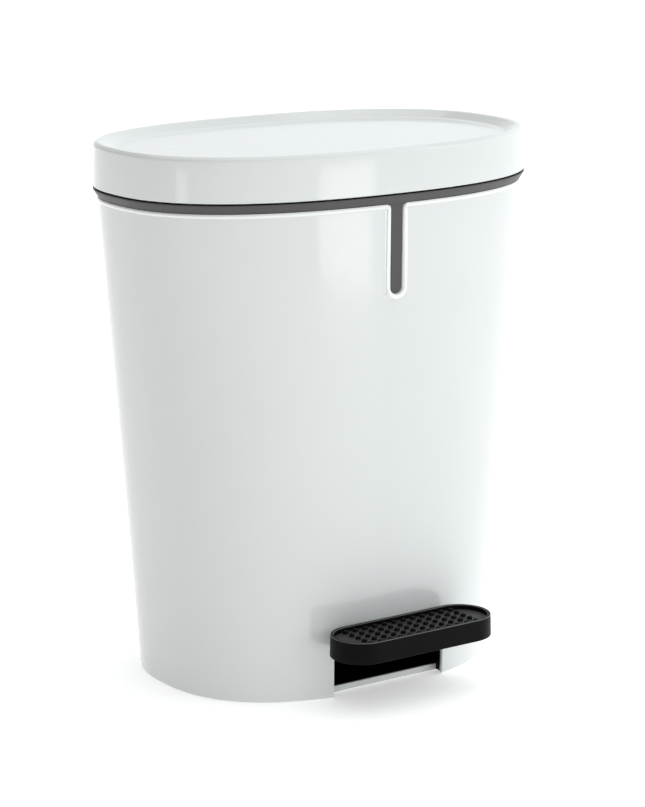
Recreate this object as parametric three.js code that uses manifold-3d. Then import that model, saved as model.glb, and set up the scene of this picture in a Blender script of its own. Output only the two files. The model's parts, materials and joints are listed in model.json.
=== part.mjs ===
// Pedal trash can, 25 litre class: an oval tapered shell with a removable inner bucket, a grey rim
// ring whose tongue hangs in a slot at the front, a hinged lid, and a pedal that opens the lid
// through a lever under the bucket and a push rod up the back.
// Millimetres, +Z up, the pedal at -Y. The origin is on the floor, at the centre of the bounding box.
import * as THREE from "three";
import { mergeVertices } from "three/addons/utils/BufferGeometryUtils.js";
import Module from "manifold-3d";

const wasm = await Module();
wasm.setup();

// ---------------------------------------------------------------- driving dimensions
const OVAL_POWER = 2.4; // every horizontal section is |x/a|^n + |y/b|^n = 1
const OVAL_STEPS = 44;
const GAP = 0.3; // left between faces that touch on the real object

const BODY_Y = 16.4; // the shell's centre, in front of which the pedal reaches further than the hinge behind
const TOTAL_HEIGHT = 450;

const SHELL_BOTTOM = 0.8; // the feet lift the shell's edge off the floor by this much
const SHELL_TOP = 405.2;
const FLOOR_HALF = { a: 150.8, b: 113.9 }; // the shell's half axes at floor level
const SHELL_HALF = { a: 186.8, b: 117.6 }; // and at its top edge
const SHELL_WALL = 2.4;

const LID_HALF = { a: 190.4, b: 121.2 }; // the lid's half axes at its lower edge
const LID_BOTTOM = 413.9;
const LID_WALL = 2.2;
const DISH_INSET = 18.9; // the lid's top is a flat dish inside a rounded rim
const DISH_Z = 444.3;

const RING_TOP = 412.6;
const RING_BOTTOM = SHELL_TOP + 0.5;
const LEDGE_TOP = 406.2; // the bucket's flange rests here
const SLOT_HALF_WIDTH = 6; // the front slot for the tongue
const TONGUE_HALF_WIDTH = 5.5;
const TONGUE_ARC_Z = 338.2; // centre of the tongue's round end
const SLOT_FILLET = 4; // where the slot runs out into the shell's top edge
const BEAD_WIDTH = 4.6; // raised border round the slot
const BEAD_PROUD = 1.1;

const WINDOW_HALF = 55.2; // the pedal window
const WINDOW_TOP = 56;
const LIP_INSET = 11; // the shell's edge turns in and up again as a lip this far inside
const LIP_TOP = 6.1;
const SILL = { front: -98.3, back: -95.9, half: 62 }; // straight bar that closes the lip across the window
const CHEEK = { inner: 57.2, outer: 58.8, top: 54 }; // black side walls just inside the window's edges

const BUCKET = { topA: 176, topB: 101, floorA: 140, floorB: 96, y: -5, floorZ: 70, rimZ: 406.5, wall: 1.8 };

const BUMPER_AT = { x: 60, y: -107.4 }; // the shut lid stands on two bumpers over the bucket's flange

const HINGE = { y: 128, z: 411, x: 45, radius: 5.2, pinRadius: 2, openDeg: 75 };
const ROD = { y: 107, radius: 2, bottom: 26.8, top: 405 };
const LIFT_ARM = HINGE.y - ROD.y; // base circle of the lid's lift cam
const PIVOT = { y: -8, z: 32, axleRadius: 3, bossRadius: 6.5, bossHalf: 40.6, postInner: 41, postOuter: 47 };

const LEVER_END = 108.5;
const LEVER_PAD = { z: 20, radius: 3.2 }; // the rounded bar under the rod's foot

const SHOE = { y: -140.4, halfStraight: 50.3, radius: 25.6, bottom: 44.5, top: 62.5, wall: 2.4 };
const TREAD = { recess: 57.3, top: 58.9, pipTop: 61.5, pipRadius: 2.4, pitchX: 9.7, pitchY: 8.6 };

const BASE_BOTTOM = 3;
const BASE_TOP = 5.4;
const FOOT_AT = { x: 108, y: 52 };
const BOSS_AT = { x: 88, y: 77 };
const SCREW = { shank: 1.4, hole: 1.7, head: 3.2, headHeight: 1.5 };

// ---------------------------------------------------------------- materials
const material = (color, roughness, metalness = 0) =>
  new THREE.MeshStandardMaterial({ color, roughness, metalness });
const whitePlastic = material(0xf1f3f2, 0.22);
const ringPlastic = material(0x5a5c5c, 0.5);
const bucketPlastic = material(0xb9bdbf, 0.45);
const blackPlastic = material(0x141516, 0.4);
const treadRubber = material(0x1b1c1d, 0.65);
const footRubber = material(0x2a2b2c, 0.85);
const steel = material(0xb4b8bb, 0.3, 1);

// ---------------------------------------------------------------- solids
// A closed geometry as a manifold solid.
function solid(geometry) {
  const bare = geometry.index ? geometry.toNonIndexed() : geometry.clone();
  bare.deleteAttribute("normal");
  bare.deleteAttribute("uv");
  const merged = mergeVertices(bare, 1e-3);
  return new wasm.Manifold(
    new wasm.Mesh({
      numProp: 3,
      vertProperties: merged.attributes.position.array,
      triVerts: new Uint32Array(merged.index.array),
    }),
  );
}

const join = (first, ...others) => others.reduce((sum, next) => sum.add(next), first);
const cut = (first, ...others) => others.reduce((rest, next) => rest.subtract(next), first);

function box(x0, x1, y0, y1, z0, z1) {
  const made = new THREE.BoxGeometry(x1 - x0, y1 - y0, z1 - z0);
  return solid(made.translate((x0 + x1) / 2, (y0 + y1) / 2, (z0 + z1) / 2));
}

function rodX(x0, x1, y, z, radius, sides = 16) {
  const made = new THREE.CylinderGeometry(radius, radius, x1 - x0, sides);
  return solid(made.rotateZ(Math.PI / 2).translate((x0 + x1) / 2, y, z));
}

function rodY(x, y0, y1, z, radius, sides = 12) {
  const made = new THREE.CylinderGeometry(radius, radius, y1 - y0, sides);
  return solid(made.translate(x, (y0 + y1) / 2, z));
}

function rodZ(x, y, z0, z1, radius, sides = 12) {
  const made = new THREE.CylinderGeometry(radius, radius, z1 - z0, sides);
  return solid(made.rotateX(Math.PI / 2).translate(x, y, (z0 + z1) / 2));
}

const extruded = (shape, depth) =>
  new THREE.ExtrudeGeometry(shape, { depth, bevelEnabled: false, curveSegments: 6 });
const outline = (points) => new THREE.Shape(points.map(([u, v]) => new THREE.Vector2(u, v)));
const [X, Y, Z] = [new THREE.Vector3(1, 0, 0), new THREE.Vector3(0, 1, 0), new THREE.Vector3(0, 0, 1)];

// A (y, z) outline extruded along X.
function prismX(shape, x0, x1) {
  const turn = new THREE.Matrix4().makeBasis(Y, Z, X).setPosition(x0, 0, 0);
  return solid(extruded(shape, x1 - x0).applyMatrix4(turn));
}

// An (x, z) outline extruded along Y.
function prismY(shape, y0, y1) {
  const turn = new THREE.Matrix4().makeBasis(X, Z, Y.clone().negate()).setPosition(0, y1, 0);
  return solid(extruded(shape, y1 - y0).applyMatrix4(turn));
}

// An (x, y) outline extruded along Z.
function prismZ(shape, z0, z1) {
  return solid(extruded(shape, z1 - z0).translate(0, 0, z0));
}

// A band of oval rings { a, b, z, y }, each joined to the next and the last to the first.
// The profile runs up the outside and down the inside. A ring with a = 0 is a point on the axis.
function ovalLoft(rings) {
  const position = [];
  const index = [];
  for (const { a, b, z, y = 0 } of rings) {
    for (let i = 0; i < OVAL_STEPS; i++) {
      const t = (2 * Math.PI * i) / OVAL_STEPS;
      const [c, s] = [Math.cos(t), Math.sin(t)];
      const k = (Math.abs(c) ** OVAL_POWER + Math.abs(s) ** OVAL_POWER) ** (-1 / OVAL_POWER);
      position.push(a * k * c, y + b * k * s, z);
    }
  }
  rings.forEach((ring, j) => {
    const next = (j + 1) % rings.length;
    if (!ring.a && !rings[next].a) return;
    for (let i = 0; i < OVAL_STEPS; i++) {
      const near = [j * OVAL_STEPS + i, j * OVAL_STEPS + ((i + 1) % OVAL_STEPS)];
      const far = near.map((v) => v + (next - j) * OVAL_STEPS);
      if (ring.a) index.push(near[0], near[1], rings[next].a ? far[1] : far[0]);
      if (rings[next].a) index.push(ring.a ? near[0] : near[1], far[1], far[0]);
    }
  });
  const made = new THREE.BufferGeometry();
  made.setAttribute("position", new THREE.Float32BufferAttribute(position, 3));
  made.setIndex(index);
  return solid(made);
}

// The shell's outer surface at a height, moved out by an offset.
function shellAt(z, out = 0) {
  const share = z / SHELL_TOP;
  const half = (axis) => FLOOR_HALF[axis] + (SHELL_HALF[axis] - FLOOR_HALF[axis]) * share + out;
  return { a: half("a"), b: half("b"), z };
}

// The lid's outline at a height, moved out by an offset.
const lidAt = (z, out = 0) => ({ a: LID_HALF.a + out, b: LID_HALF.b + out, z });

// The solid inside the shell's outer surface, moved out by an offset.
const shellCore = (z0, z1, out) =>
  ovalLoft([{ a: 0, b: 0, z: z0 }, shellAt(z0, out), shellAt(z1, out), { a: 0, b: 0, z: z1 }]);

// The band between two offsets of the shell's outer surface.
const shellBand = (z0, z1, inner, outer) => cut(shellCore(z0, z1, outer), shellCore(z0 - 1, z1 + 1, inner));

const group = new THREE.Group();
const can = new THREE.Group();
can.position.y = BODY_Y;
group.add(can);

function place(name, made, look) {
  const { numProp, numVert, vertProperties, triVerts } = made.getMesh();
  const position = new Float32Array(numVert * 3);
  for (let i = 0; i < numVert; i++) {
    position.set(vertProperties.subarray(i * numProp, i * numProp + 3), i * 3);
  }
  const geometry = new THREE.BufferGeometry();
  geometry.setAttribute("position", new THREE.BufferAttribute(position, 3));
  geometry.setIndex(new THREE.BufferAttribute(triVerts, 1));
  const mesh = new THREE.Mesh(geometry, look);
  mesh.name = name;
  can.add(mesh);
}

// ---------------------------------------------------------------- shell, ring and bucket
// The tongue's outline, or the slot's or its border's: a round-ended strip under the top edge,
// with a fillet on each side where it runs out.
function stripOutline(halfWidth, top, fillet) {
  const strip = new THREE.Shape();
  strip.moveTo(-halfWidth, TONGUE_ARC_Z);
  strip.absarc(0, TONGUE_ARC_Z, halfWidth, Math.PI, 2 * Math.PI, false);
  if (fillet) {
    strip.absarc(halfWidth + fillet, top - fillet, fillet, Math.PI, Math.PI / 2, true);
    strip.absarc(-halfWidth - fillet, top - fillet, fillet, Math.PI / 2, 0, true);
  } else {
    strip.lineTo(halfWidth, top);
    strip.lineTo(-halfWidth, top);
  }
  return strip;
}

function outerShell() {
  const inside = (z) => shellAt(z, -SHELL_WALL);
  const flangeTop = SHELL_BOTTOM + SHELL_WALL;
  const wall = ovalLoft([
    shellAt(SHELL_BOTTOM),
    shellAt(SHELL_TOP - 4.2),
    shellAt(SHELL_TOP - 3.2, 0.8),
    shellAt(SHELL_TOP - 0.8, 0.8),
    shellAt(SHELL_TOP, 0),
    inside(SHELL_TOP),
    inside(flangeTop),
    shellAt(flangeTop, -LIP_INSET),
    shellAt(LIP_TOP, -LIP_INSET),
    shellAt(LIP_TOP, -LIP_INSET - SHELL_WALL),
    shellAt(SHELL_BOTTOM, -LIP_INSET - SHELL_WALL),
  ]);
  // The window goes through the wall and the lip. Beside it the turned-in edge makes room for the
  // base's cheeks, and the sill bar joins the lip's two ends.
  const window = box(-WINDOW_HALF, WINDOW_HALF, -140, SILL.front, -1, WINDOW_TOP);
  const cheekRoom = box(-SILL.half - 1, SILL.half + 1, -140, SILL.front, -1, flangeTop + 1)
    .intersect(shellCore(-2, 20, -SHELL_WALL));
  const sill = box(-SILL.half, SILL.half, SILL.front, SILL.back, SHELL_BOTTOM, LIP_TOP);
  const slot = prismY(stripOutline(SLOT_HALF_WIDTH, SHELL_TOP + 0.01, SLOT_FILLET), -140, -90);
  const border = prismY(stripOutline(SLOT_HALF_WIDTH + BEAD_WIDTH, SHELL_TOP - 1), -140, -90)
    .intersect(shellBand(300, SHELL_TOP - 0.5, -1, BEAD_PROUD));
  const bosses = [-1, 1].flatMap((sx) =>
    [-1, 1].map((sy) => {
      const [x, y] = [sx * BOSS_AT.x, sy * BOSS_AT.y];
      const web = new THREE.BoxGeometry(22, SHELL_WALL, 14).rotateZ(Math.atan2(y, x));
      const outward = new THREE.Vector2(x, y).normalize().multiplyScalar(12);
      const rib = solid(web.translate(x + outward.x, y + outward.y, BASE_TOP + 7.4))
        .intersect(shellCore(0, 40, -1));
      const boss = join(rodZ(x, y, BASE_TOP + 0.4, 22, 4.5), rib);
      return cut(boss, rodZ(x, y, BASE_TOP - 1, 18, SCREW.hole));
    }),
  );
  const screwHoles = [-1, 1].flatMap((side) =>
    hingeScrewHeights.map((z) => rodY(side * HINGE.x, 108, 125, z, SCREW.hole)),
  );
  return cut(join(cut(wall, window, cheekRoom), sill, border, ...bosses), slot, ...screwHoles);
}

function rimRing() {
  const skirtBottom = 394;
  const skirtOuter = -SHELL_WALL - 0.4;
  const skirtInner = skirtOuter - 1.8;
  const band = ovalLoft([
    lidAt(RING_BOTTOM, -3.4),
    lidAt(RING_TOP - 0.6, 0.4),
    lidAt(RING_TOP, 0.1),
    lidAt(RING_TOP, -5),
    lidAt(LEDGE_TOP, -5),
    lidAt(LEDGE_TOP, -13),
    lidAt(LEDGE_TOP - 1.8, -13),
    shellAt(LEDGE_TOP - 1.8, skirtInner),
    shellAt(skirtBottom, skirtInner),
    shellAt(skirtBottom, skirtOuter),
    { ...shellAt(SHELL_TOP, skirtOuter), z: RING_BOTTOM },
  ]);
  const fillet = SLOT_FILLET + SLOT_HALF_WIDTH - TONGUE_HALF_WIDTH;
  const tongue = prismY(stripOutline(TONGUE_HALF_WIDTH, RING_BOTTOM + 0.01, fillet), -140, -90);
  const stem = prismY(stripOutline(TONGUE_HALF_WIDTH, RING_BOTTOM + 0.4), -140, -90);
  const strip = join(tongue, stem).intersect(shellBand(320, RING_BOTTOM + 2, -2.1, 0));
  const rodNotch = box(-8, 8, 100, 111.4, LEDGE_TOP - 3, LEDGE_TOP + 1);
  return cut(join(band, strip), rodNotch);
}

function innerBucket() {
  const { topA, topB, floorA, floorB, y, floorZ, rimZ, wall } = BUCKET;
  const at = (z, out = 0) => {
    const share = (z - floorZ) / (rimZ - floorZ);
    return { a: floorA + (topA - floorA) * share + out, b: floorB + (topB - floorB) * share + out, z, y };
  };
  const pail = ovalLoft([
    { a: 0, b: 0, z: floorZ, y },
    at(floorZ, -5),
    at(floorZ + 4),
    at(rimZ),
    lidAt(rimZ, -5.6),
    lidAt(rimZ + wall, -5.6),
    at(rimZ + wall, -wall),
    at(floorZ + 5, -wall),
    at(floorZ + wall, -5 - wall),
    { a: 0, b: 0, z: floorZ + wall, y },
  ]);
  const camNotch = box(-12, 12, 84, 125, 394, 420);
  return cut(pail, camNotch);
}

// ---------------------------------------------------------------- lid
function lidCover() {
  const skin = ovalLoft([
    lidAt(LID_BOTTOM),
    lidAt(TOTAL_HEIGHT - 6, -0.5),
    lidAt(TOTAL_HEIGHT - 2.6, -1.1),
    lidAt(TOTAL_HEIGHT - 0.7, -2.6),
    lidAt(TOTAL_HEIGHT, -4.8),
    lidAt(TOTAL_HEIGHT - 0.5, -7.6),
    lidAt(TOTAL_HEIGHT - 3.2, -13),
    lidAt(DISH_Z + 0.5, -DISH_INSET + 1.4),
    lidAt(DISH_Z, -DISH_INSET - 1),
    { a: 0, b: 0, z: DISH_Z },
    { a: 0, b: 0, z: DISH_Z - LID_WALL },
    lidAt(DISH_Z - LID_WALL, -DISH_INSET - 1),
    lidAt(DISH_Z - LID_WALL + 0.5, -DISH_INSET + 0.4),
    lidAt(TOTAL_HEIGHT - 5.4, -12.6),
    lidAt(TOTAL_HEIGHT - 2.4, -6.4),
    lidAt(TOTAL_HEIGHT - 3.4, -3.6),
    lidAt(TOTAL_HEIGHT - 7, -0.5 - LID_WALL),
    lidAt(LID_BOTTOM, -LID_WALL),
  ]);
  const ears = [-1, 1].map((side) => {
    const x = side * HINGE.x;
    const arm = outline([[119.4, LID_BOTTOM + 0.6], [123.2, LID_BOTTOM + 0.2], [123.2, HINGE.z],
      [HINGE.y, HINGE.z], [HINGE.y + 5, HINGE.z + 1.4], [123.5, 428], [119.4, 428]]);
    const ear = join(prismX(arm, x - 7, x + 7), rodX(x - 7, x + 7, HINGE.y, HINGE.z, HINGE.radius));
    return cut(ear, rodX(x - 9, x + 9, HINGE.y, HINGE.z, HINGE.pinRadius + GAP));
  });
  const bosses = [-1, 1].map((side) =>
    cut(rodZ(side * 14, 95, 434, 443, 4), rodZ(side * 14, 95, 433, 441, SCREW.hole)),
  );
  const columns = [-1, 1].map((side) => rodZ(side * BUMPER_AT.x, BUMPER_AT.y, 411, 446, 3.6));
  return join(skin, ...ears, ...bosses, ...columns);
}

// The lift cam's working face is the involute of a circle of LIFT_ARM round the hinge, so that the
// rod, rising straight up, turns the lid by the same angle for each millimetre.
function liftCam() {
  const steps = 10;
  const last = THREE.MathUtils.degToRad(HINGE.openDeg + 3);
  const face = Array.from({ length: steps + 1 }, (_, i) => {
    const t = (last * i) / steps;
    return [
      HINGE.y - LIFT_ARM * (Math.cos(t) + t * Math.sin(t)),
      HINGE.z + LIFT_ARM * (t * Math.cos(t) - Math.sin(t)),
    ];
  });
  const web = outline([[110, HINGE.z + 0.6], ...face, [92.6, 397], [90, 404], [88, 420], [87, 433], [110.5, 433]]);
  const plate = box(-19, 19, 86.5, 106, 431.5, 433.6);
  const holes = [-1, 1].map((side) => rodZ(side * 14, 95, 430, 435, SCREW.hole));
  return cut(join(prismX(web, -3, 3), plate), ...holes);
}

// ---------------------------------------------------------------- hinge
const hingeScrewHeights = [378, 391];

function hingeBracket(side) {
  const x = side * HINGE.x;
  const pad = cut(box(x - 12, x + 12, 108, 121.4, 370, 399), shellCore(360, SHELL_TOP, GAP));
  const cheek = outline([[119, 382], [121.4, 382], [129, 396], [133, 409], [HINGE.y, HINGE.z],
    [123.1, 410], [123.1, 402], [119, 398]]);
  const cheeks = [-1, 1].map((end) => {
    const [near, far] = [x + end * 7.6, x + end * 12].sort((p, q) => p - q);
    return join(prismX(cheek, near, far), rodX(near, far, HINGE.y, HINGE.z, HINGE.radius));
  });
  const pinHole = rodX(x - 13, x + 13, HINGE.y, HINGE.z, HINGE.pinRadius + GAP);
  const holes = hingeScrewHeights.map((z) => rodY(x, 105, 125, z, SCREW.hole));
  return cut(join(pad, ...cheeks), pinHole, ...holes);
}

function hingePin(side) {
  const x = side * HINGE.x;
  const head = x + side * 13;
  const [near, far] = [x + side * 12.3, head + side * 0.6].sort((p, q) => p - q);
  return join(
    rodX(Math.min(x - side * 12.4, head), Math.max(x - side * 12.4, head), HINGE.y, HINGE.z, HINGE.pinRadius, 16),
    rodX(near, far, HINGE.y, HINGE.z, 3.4, 16),
  );
}

// ---------------------------------------------------------------- pedal
function stadium(halfStraight, radius, y) {
  const shape = new THREE.Shape();
  shape.moveTo(-halfStraight, y - radius);
  shape.absarc(halfStraight, y, radius, -Math.PI / 2, Math.PI / 2, false);
  shape.absarc(-halfStraight, y, radius, Math.PI / 2, (3 * Math.PI) / 2, false);
  return shape;
}

const pedalScrewAt = { x: 30, y: -138 };

function pedalShoe() {
  const { y, halfStraight, radius, bottom, top, wall } = SHOE;
  const deckBottom = TREAD.recess - wall;
  const block = prismZ(stadium(halfStraight, radius, y), bottom, top);
  const recess = prismZ(stadium(halfStraight, radius - wall, y), TREAD.recess, top + 1);
  const hollow = prismZ(stadium(halfStraight, radius - wall, y), bottom - 1, deckBottom);
  const armGap = box(-51, 51, y, y + radius + 1, bottom - 1, deckBottom);
  const pilots = [-1, 1].map((side) =>
    rodZ(side * pedalScrewAt.x, pedalScrewAt.y, deckBottom - 1, TREAD.recess - 0.7, SCREW.hole),
  );
  return cut(block, recess, hollow, armGap, ...pilots);
}

function pedalTread() {
  const { y, halfStraight, radius, wall } = SHOE;
  const pad = prismZ(stadium(halfStraight, radius - wall - GAP, y), TREAD.recess + GAP, TREAD.top);
  const pips = [];
  for (let column = -5.5; column <= 5.5; column++) {
    for (let row = -2; row <= 2; row++) {
      const [x, pipY] = [column * TREAD.pitchX, y + row * TREAD.pitchY];
      pips.push(rodZ(x, pipY, TREAD.top - 0.4, TREAD.pipTop, TREAD.pipRadius, 6));
    }
  }
  return join(pad, ...pips);
}

// The lever is a channel, open below: a broad arm from the shoe through the window, and a narrow
// tail to the rod, on a boss round the axle.
function pedalLever() {
  const sheet = 3;
  const top = [[-157, 54.5], [-104, 54.5], [-60, 46], [PIVOT.y, 42], [60, 33], [100, 23.5], [LEVER_END, 22]];
  const under = [[LEVER_END, 13.5], [60, 17], [PIVOT.y, 23], [-60, 27], [-112, 31], [-116, 50.4], [-157, 50.4]];
  const side = outline([...under.toReversed(), ...top.toReversed()]);
  const lowered = top.map(([y, z]) => [y, z - sheet]);
  const hollowSide = outline([[LEVER_END, 0], [-108, 0], [-112 + sheet, 49], ...lowered.slice(1)]);
  const plan = (inset, front) =>
    outline([[50 - inset, front], [50 - inset, -62], [14 - inset, -26], [14 - inset, LEVER_END + 0.5 - inset],
      [-14 + inset, LEVER_END + 0.5 - inset], [-14 + inset, -26], [-50 + inset, -62], [-50 + inset, front]]);
  const arm = prismX(side, -50, 50).intersect(prismZ(plan(0, -158), 0, 60));
  const pocket = cut(
    prismX(hollowSide, -50, 50).intersect(prismZ(plan(sheet, -112 + sheet), -1, 60)),
    box(-1.4, 1.4, -120, 120, -1, 60),
  );
  const boss = rodX(-PIVOT.bossHalf, PIVOT.bossHalf, PIVOT.y, PIVOT.z, PIVOT.bossRadius);
  const pad = rodX(-10, 10, ROD.y, LEVER_PAD.z, LEVER_PAD.radius);
  const axleHole = rodX(-60, 60, PIVOT.y, PIVOT.z, PIVOT.axleRadius + GAP);
  const holes = [-1, 1].map((end) =>
    rodZ(end * pedalScrewAt.x, pedalScrewAt.y, 49, 56, SCREW.hole),
  );
  return cut(join(cut(arm, pocket), boss, pad), axleHole, ...holes);
}

// ---------------------------------------------------------------- base and rod
function basePlate() {
  const plate = ovalLoft([
    { a: 0, b: 0, z: BASE_BOTTOM },
    { ...shellAt(0, -LIP_INSET - SHELL_WALL - 0.5), z: BASE_BOTTOM },
    { ...shellAt(0, -LIP_INSET - SHELL_WALL - 0.5), z: BASE_TOP },
    { a: 0, b: 0, z: BASE_TOP },
  ]);
  const sillRoom = box(-SILL.half - 1, SILL.half + 1, -140, SILL.back + GAP, 0, 10);
  const cheek = outline([[-112, 1.2], [SILL.front - GAP, 1.2], [SILL.front - GAP, LIP_TOP + GAP],
    [SILL.back + 1.5, LIP_TOP + GAP], [SILL.back + 1.5, BASE_TOP - 1], [-86, BASE_TOP - 1], [-86, 30],
    [-96, CHEEK.top], [-112, CHEEK.top]]);
  const cheeks = [-1, 1].map((end) => {
    const [near, far] = [end * CHEEK.inner, end * CHEEK.outer].sort((p, q) => p - q);
    return prismX(cheek, near, far).intersect(shellCore(-1, 60, -SHELL_WALL - GAP));
  });
  const post = outline([[PIVOT.y - 13, BASE_TOP - 1], [PIVOT.y + 13, BASE_TOP - 1], [PIVOT.y + 6, PIVOT.z + 2],
    [PIVOT.y + 4, PIVOT.z + 6.5], [PIVOT.y - 4, PIVOT.z + 6.5], [PIVOT.y - 6, PIVOT.z + 2]]);
  const posts = [-1, 1].map((end) => {
    const [near, far] = [end * PIVOT.postInner, end * PIVOT.postOuter].sort((p, q) => p - q);
    return prismX(post, near, far);
  });
  const ribs = [-70, 70].map((x) => box(x - 1, x + 1, -60, 60, BASE_TOP - 1, BASE_TOP + 5));
  const crossRibs = [-45, 45].map((y) => box(-80, 80, y - 1, y + 1, BASE_TOP - 1, BASE_TOP + 1.6));
  const holes = [-1, 1].flatMap((sx) =>
    [-1, 1].flatMap((sy) => [
      rodZ(sx * BOSS_AT.x, sy * BOSS_AT.y, 0, 10, SCREW.hole),
      rodZ(sx * FOOT_AT.x, sy * FOOT_AT.y, 0, 10, 2.5 + GAP),
    ]),
  );
  const axleHole = rodX(-60, 60, PIVOT.y, PIVOT.z, PIVOT.axleRadius + GAP);
  return cut(join(cut(plate, sillRoom), ...cheeks, ...posts, ...ribs, ...crossRibs), axleHole, ...holes);
}

function foot(x, y) {
  const pad = new THREE.CylinderGeometry(9, 8.2, BASE_BOTTOM - GAP, 20).rotateX(Math.PI / 2);
  return join(solid(pad.translate(x, y, (BASE_BOTTOM - GAP) / 2)), rodZ(x, y, 1, BASE_TOP + 2, 2.5));
}

// A screw along +Z: its head's outer face at z, its shank above.
const screwUp = (x, y, z, length) =>
  join(rodZ(x, y, z, z + SCREW.headHeight, SCREW.head, 12), rodZ(x, y, z + 0.5, z + length, SCREW.shank, 8));

// A screw from behind, along -Y.
const screwIn = (x, z, y, length) =>
  join(rodY(x, y - SCREW.headHeight, y, z, SCREW.head), rodY(x, y - length, y - 0.5, z, SCREW.shank, 8));

function rodChannel() {
  const wall = 1.5;
  const [bottom, top] = [66, 390];
  const section = cut(
    box(-6, 6, 102.4, 118, bottom, top),
    box(-6 + wall, 6 - wall, 102.4 + wall, 120, bottom - 1, top + 1),
  );
  return section.intersect(shellCore(bottom - 1, top + 1, -SHELL_WALL - GAP));
}

const rodGuide = (z) =>
  cut(box(-4.2, 4.2, 104.2, 111, z, z + 9), rodZ(0, ROD.y, z - 1, z + 10, ROD.radius + GAP));

function rodTip() {
  const dome = new THREE.SphereGeometry(3, 12, 8).translate(0, ROD.y, HINGE.z - GAP - 3);
  const sleeve = rodZ(0, ROD.y, 398, HINGE.z - GAP - 3, 3, 12);
  return cut(join(solid(dome), sleeve), rodZ(0, ROD.y, 390, ROD.top + GAP, ROD.radius + GAP, 16));
}

function rodFoot() {
  return cut(
    rodZ(0, ROD.y, LEVER_PAD.z + LEVER_PAD.radius + GAP, 32, 3.7, 16),
    rodZ(0, ROD.y, ROD.bottom - GAP, 40, ROD.radius + GAP, 12),
  );
}

// ---------------------------------------------------------------- assembly
place("outer_shell", outerShell(), whitePlastic);
place("rim_ring", rimRing(), ringPlastic);
place("inner_bucket", innerBucket(), bucketPlastic);
place("base_plate", basePlate(), blackPlastic);
place("rod_channel", rodChannel(), whitePlastic);
place("rod_guide_lower", rodGuide(74), blackPlastic);
place("rod_guide_upper", rodGuide(376), blackPlastic);

place("lid_cover", lidCover(), whitePlastic);
place("lid_lift_cam", liftCam(), whitePlastic);

place("pedal_lever", pedalLever(), blackPlastic);
place("pedal_shoe", pedalShoe(), blackPlastic);
place("pedal_tread", pedalTread(), treadRubber);
place("pedal_axle", rodX(-50, 50, PIVOT.y, PIVOT.z, PIVOT.axleRadius, 20), steel);

place("push_rod", rodZ(0, ROD.y, ROD.bottom, ROD.top, ROD.radius, 16), steel);
place("rod_tip", rodTip(), blackPlastic);
place("rod_foot", rodFoot(), blackPlastic);

for (const [side, hand] of [[-1, "left"], [1, "right"]]) {
  place(`hinge_bracket_${hand}`, hingeBracket(side), whitePlastic);
  place(`hinge_pin_${hand}`, hingePin(side), steel);
  hingeScrewHeights.forEach((z, i) => {
    place(`hinge_screw_${hand}_${["lower", "upper"][i]}`, screwIn(side * HINGE.x, z, 123.2, 15), steel);
  });
  const clip = cut(
    rodX(...[side * 47.4, side * 48.6].sort((p, q) => p - q), PIVOT.y, PIVOT.z, 5.5),
    rodX(-60, 60, PIVOT.y, PIVOT.z, PIVOT.axleRadius + 0.2),
  );
  place(`axle_clip_${hand}`, clip, steel);
  place(`lid_bumper_${hand}`, rodZ(side * BUMPER_AT.x, BUMPER_AT.y, 408.6, 410.7, 3.4), footRubber);
  place(`cam_screw_${hand}`, screwUp(side * 14, 95, 431.2 - SCREW.headHeight, 10), steel);
  place(`pedal_screw_${hand}`, screwUp(side * pedalScrewAt.x, pedalScrewAt.y, 48.6, 7.6), steel);
  for (const [end, where] of [[-1, "front"], [1, "rear"]]) {
    place(`foot_${where}_${hand}`, foot(side * FOOT_AT.x, end * FOOT_AT.y), footRubber);
    place(`base_screw_${where}_${hand}`, screwUp(side * BOSS_AT.x, end * BOSS_AT.y, 1.2, 15), steel);
  }
}

export default group;
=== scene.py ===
"""The looks of the pedal trash can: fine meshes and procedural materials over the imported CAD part."""

import json
import math

import bmesh
import bpy
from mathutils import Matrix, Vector

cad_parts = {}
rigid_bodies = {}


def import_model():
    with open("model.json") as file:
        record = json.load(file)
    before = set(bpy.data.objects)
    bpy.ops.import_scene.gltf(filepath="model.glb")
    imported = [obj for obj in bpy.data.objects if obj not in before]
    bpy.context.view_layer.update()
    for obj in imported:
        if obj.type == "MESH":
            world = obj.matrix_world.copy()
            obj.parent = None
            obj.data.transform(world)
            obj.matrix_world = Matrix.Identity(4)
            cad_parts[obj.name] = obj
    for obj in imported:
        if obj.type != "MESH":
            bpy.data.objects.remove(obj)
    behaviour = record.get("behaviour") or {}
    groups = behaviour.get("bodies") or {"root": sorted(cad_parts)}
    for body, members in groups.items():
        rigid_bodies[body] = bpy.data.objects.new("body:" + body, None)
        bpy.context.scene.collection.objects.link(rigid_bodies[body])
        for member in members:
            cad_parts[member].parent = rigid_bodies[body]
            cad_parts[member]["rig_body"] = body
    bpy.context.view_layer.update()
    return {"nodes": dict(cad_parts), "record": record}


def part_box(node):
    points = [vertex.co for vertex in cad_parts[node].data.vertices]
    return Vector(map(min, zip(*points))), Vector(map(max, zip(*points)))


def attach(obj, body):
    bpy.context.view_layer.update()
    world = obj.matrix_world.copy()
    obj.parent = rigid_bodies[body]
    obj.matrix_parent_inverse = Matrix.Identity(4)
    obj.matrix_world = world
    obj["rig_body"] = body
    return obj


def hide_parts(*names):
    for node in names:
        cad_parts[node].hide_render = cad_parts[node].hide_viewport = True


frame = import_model()
MM = 0.001
TURN = 2 * math.pi

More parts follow.
